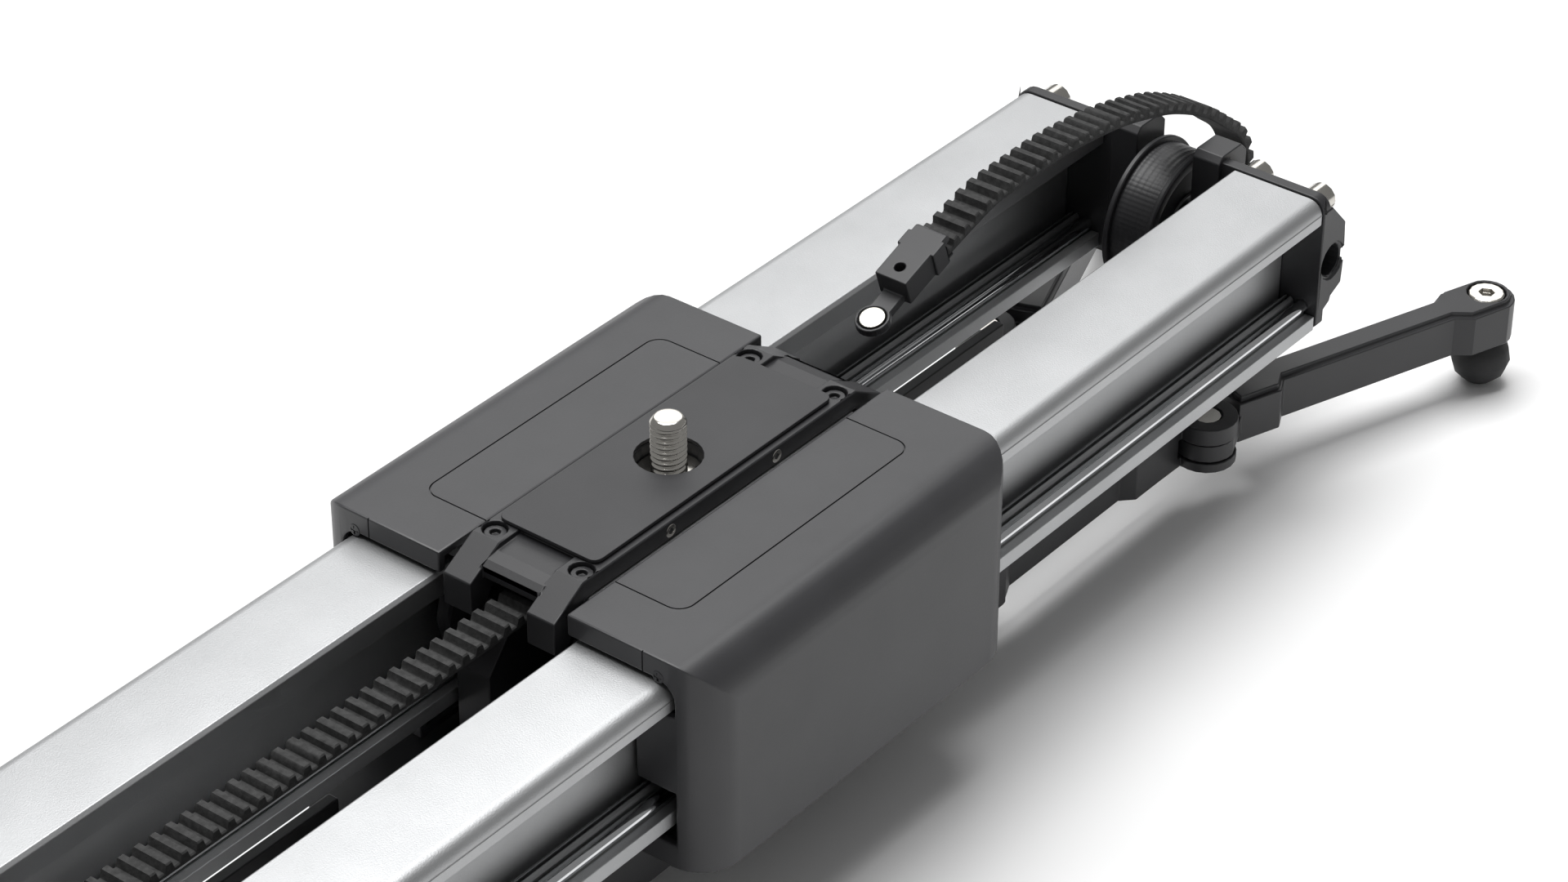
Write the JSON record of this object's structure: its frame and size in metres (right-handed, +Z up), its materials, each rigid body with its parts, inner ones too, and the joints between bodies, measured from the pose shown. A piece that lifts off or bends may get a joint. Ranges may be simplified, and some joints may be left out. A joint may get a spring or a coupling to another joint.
{
  "type": "camera slider",
  "caption": "Double-distance camera slider with folding legs, twin grooved aluminium rails, belt-driven carriage and a top camera screw.",
  "frame": {"origin": "centre of the bounding box on the floor, under the middle of the base", "axes": "+X along the rails to the end with the loose belt end, +Y to the left rail, +Z up"},
  "size_m": [0.6134, 0.1532, 0.1194],
  "materials": {
    "black_anodised": "fine bead-blasted black anodised aluminium",
    "cover_black": "matt black moulded cover",
    "silver_anodised": "sandblasted silver anodised aluminium",
    "polished_steel": "polished stainless steel",
    "black_rubber": "matt black rubber"
  },
  "bodies": {
    "base": {"base_body": "black_anodised", "leg_pin_near_left": "polished_steel", "leg_pin_near_right": "polished_steel", "leg_pin_far_left": "polished_steel", "leg_pin_far_right": "polished_steel"},
    "rails": {"left_rail": "silver_anodised", "right_rail": "silver_anodised", "left_inner_rod": "polished_steel", "left_outer_rod": "polished_steel", "right_inner_rod": "polished_steel", "right_outer_rod": "polished_steel", "near_end_bracket": "black_anodised", "far_end_bracket": "black_anodised", "near_idler_axle": "polished_steel", "far_idler_axle": "polished_steel", "end_screw_near_left_inner": "polished_steel", "end_screw_near_left_outer": "polished_steel", "end_screw_near_right_inner": "polished_steel", "end_screw_near_right_outer": "polished_steel", "end_screw_far_left_inner": "polished_steel", "end_screw_far_left_outer": "polished_steel", "end_screw_far_right_inner": "polished_steel", "end_screw_far_right_outer": "polished_steel", "belt_loop": "black_rubber", "belt_near_run": "black_rubber", "belt_free_arc": "black_rubber"},
    "carriage": {"carriage_frame": "silver_anodised", "left_cover": "cover_black", "right_cover": "cover_black", "top_frame": "black_anodised", "mounting_plate": "cover_black", "frame_bolt_near_left": "black_anodised", "frame_bolt_near_right": "black_anodised", "frame_bolt_far_left": "black_anodised", "frame_bolt_far_right": "black_anodised"},
    "camera_screw": {"camera_screw": "polished_steel"},
    "belt_clip": {"belt_clip": "black_anodised", "clip_magnet": "polished_steel"},
    "near_idler": {"near_idler": "black_anodised"},
    "far_idler": {"far_idler": "black_anodised"},
    "base_roller_near_left": {"base_roller_near_left": "cover_black"},
    "carriage_roller_near_left": {"carriage_roller_near_left": "cover_black"},
    "leg_near_left": {"leg_near_left": "black_anodised", "foot_screw_near_left": "polished_steel", "foot_near_left": "black_rubber"},
    "base_roller_near_right": {"base_roller_near_right": "cover_black"},
    "carriage_roller_near_right": {"carriage_roller_near_right": "cover_black"},
    "leg_near_right": {"leg_near_right": "black_anodised", "foot_screw_near_right": "polished_steel", "foot_near_right": "black_rubber"},
    "base_roller_far_left": {"base_roller_far_left": "cover_black"},
    "carriage_roller_far_left": {"carriage_roller_far_left": "cover_black"},
    "leg_far_left": {"leg_far_left": "black_anodised", "foot_screw_far_left": "polished_steel", "foot_far_left": "black_rubber"},
    "base_roller_far_right": {"base_roller_far_right": "cover_black"},
    "carriage_roller_far_right": {"carriage_roller_far_right": "cover_black"},
    "leg_far_right": {"leg_far_right": "black_anodised", "foot_screw_far_right": "polished_steel", "foot_far_right": "black_rubber"}
  },
  "joints": [
    {"name": "rail_slide", "type": "slide", "parent": "base", "child": "rails", "axis": [1, 0, 0], "range_m": [-0.15, 0.09]},
    {"name": "carriage_slide", "type": "slide", "parent": "rails", "child": "carriage", "axis": [1, 0, 0], "range_m": [-0.1505, 0.0905], "deforming": ["belt_near_run"]},
    {"name": "clip_slide", "type": "slide", "parent": "rails", "child": "belt_clip", "axis": [1, 0, 0], "range_m": [-0.1505, 0.0905], "deforming": ["belt_free_arc"]},
    {"name": "near_idler_spin", "type": "hinge", "parent": "rails", "child": "near_idler", "pos_m": [-0.2268, 0, 0.0647], "axis": [0, 1, 0], "range_deg": [-399, 240]},
    {"name": "far_idler_spin", "type": "hinge", "parent": "rails", "child": "far_idler", "pos_m": [0.2268, 0, 0.0647], "axis": [0, 1, 0], "range_deg": [-399, 240]},
    {"name": "carriage_roller_near_left_spin", "type": "hinge", "parent": "carriage", "child": "carriage_roller_near_left", "pos_m": [-0.042, 0.048, 0.07055], "axis": [0, 1, 0], "range_deg": [-631, 379]},
    {"name": "base_roller_near_left_spin", "type": "hinge", "parent": "base", "child": "base_roller_near_left", "pos_m": [-0.042, 0.0265, 0.07055], "axis": [0, 1, 0], "range_deg": [-569, 342]},
    {"name": "leg_near_left_fold", "type": "hinge", "parent": "base", "child": "leg_near_left", "pos_m": [-0.1916, 0.0391, 0.024], "axis": [0, 0, 1], "range_deg": [-160, 20]},
    {"name": "carriage_roller_near_right_spin", "type": "hinge", "parent": "carriage", "child": "carriage_roller_near_right", "pos_m": [-0.042, -0.048, 0.07055], "axis": [0, 1, 0], "range_deg": [-631, 379]},
    {"name": "base_roller_near_right_spin", "type": "hinge", "parent": "base", "child": "base_roller_near_right", "pos_m": [-0.042, -0.0265, 0.07055], "axis": [0, 1, 0], "range_deg": [-569, 342]},
    {"name": "leg_near_right_fold", "type": "hinge", "parent": "base", "child": "leg_near_right", "pos_m": [-0.1916, -0.0391, 0.024], "axis": [0, 0, 1], "range_deg": [-20, 160]},
    {"name": "carriage_roller_far_left_spin", "type": "hinge", "parent": "carriage", "child": "carriage_roller_far_left", "pos_m": [0.042, 0.048, 0.07055], "axis": [0, 1, 0], "range_deg": [-631, 379]},
    {"name": "base_roller_far_left_spin", "type": "hinge", "parent": "base", "child": "base_roller_far_left", "pos_m": [0.042, 0.0265, 0.07055], "axis": [0, 1, 0], "range_deg": [-569, 342]},
    {"name": "leg_far_left_fold", "type": "hinge", "parent": "base", "child": "leg_far_left", "pos_m": [0.1916, 0.0391, 0.024], "axis": [0, 0, 1], "range_deg": [-20, 160]},
    {"name": "carriage_roller_far_right_spin", "type": "hinge", "parent": "carriage", "child": "carriage_roller_far_right", "pos_m": [0.042, -0.048, 0.07055], "axis": [0, 1, 0], "range_deg": [-631, 379]},
    {"name": "base_roller_far_right_spin", "type": "hinge", "parent": "base", "child": "base_roller_far_right", "pos_m": [0.042, -0.0265, 0.07055], "axis": [0, 1, 0], "range_deg": [-569, 342]},
    {"name": "leg_far_right_fold", "type": "hinge", "parent": "base", "child": "leg_far_right", "pos_m": [0.1916, -0.0391, 0.024], "axis": [0, 0, 1], "range_deg": [-160, 20]},
    {"name": "camera_screw_turn", "type": "hinge", "parent": "carriage", "child": "camera_screw", "pos_m": [0, 0, 0.1], "axis": [0, 0, 1], "continuous": true}
  ],
  "couplings": [
    {"joint": "carriage_slide", "follows": "rail_slide", "ratio": 1},
    {"joint": "clip_slide", "follows": "rail_slide", "ratio": 1},
    {"joint": "near_idler_spin", "follows": "rail_slide", "rad_per_m": 46.296},
    {"joint": "far_idler_spin", "follows": "rail_slide", "rad_per_m": 46.296},
    {"joint": "carriage_roller_near_left_spin", "follows": "rail_slide", "rad_per_m": 73.26},
    {"joint": "base_roller_near_left_spin", "follows": "rail_slide", "rad_per_m": 66.007},
    {"joint": "carriage_roller_near_right_spin", "follows": "rail_slide", "rad_per_m": 73.26},
    {"joint": "base_roller_near_right_spin", "follows": "rail_slide", "rad_per_m": 66.007},
    {"joint": "carriage_roller_far_left_spin", "follows": "rail_slide", "rad_per_m": 73.26},
    {"joint": "base_roller_far_left_spin", "follows": "rail_slide", "rad_per_m": 66.007},
    {"joint": "carriage_roller_far_right_spin", "follows": "rail_slide", "rad_per_m": 73.26},
    {"joint": "base_roller_far_right_spin", "follows": "rail_slide", "rad_per_m": 66.007}
  ]
}
